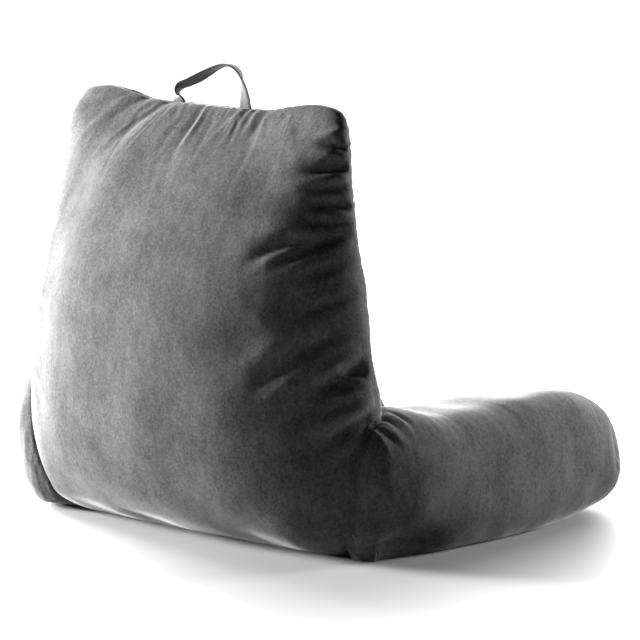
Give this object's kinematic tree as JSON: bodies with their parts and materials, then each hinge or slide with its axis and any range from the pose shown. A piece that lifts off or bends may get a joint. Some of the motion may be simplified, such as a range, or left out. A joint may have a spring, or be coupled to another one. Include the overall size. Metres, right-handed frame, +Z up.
{
  "type": "reading pillow with arms",
  "caption": "Filled reading pillow with a tall wedge backrest, arms that reach forward from its lower corners, and a twisted carry strap on the top seam.",
  "frame": {"origin": "on the floor, under the middle of the whole pillow's box", "axes": "+Z up; the back panel faces +Y and the arms reach towards -Y; +X is on the sitter's left"},
  "size_m": [0.5484, 0.5191, 0.4787],
  "materials": {
    "body_velour": "matt short-pile velour, charcoal",
    "strap_velour": "matt short-pile velour, charcoal"
  },
  "bodies": {
    "root": {"backrest": "body_velour", "arm_left": "body_velour", "arm_right": "body_velour", "handle": "strap_velour"}
  },
  "joints": []
}
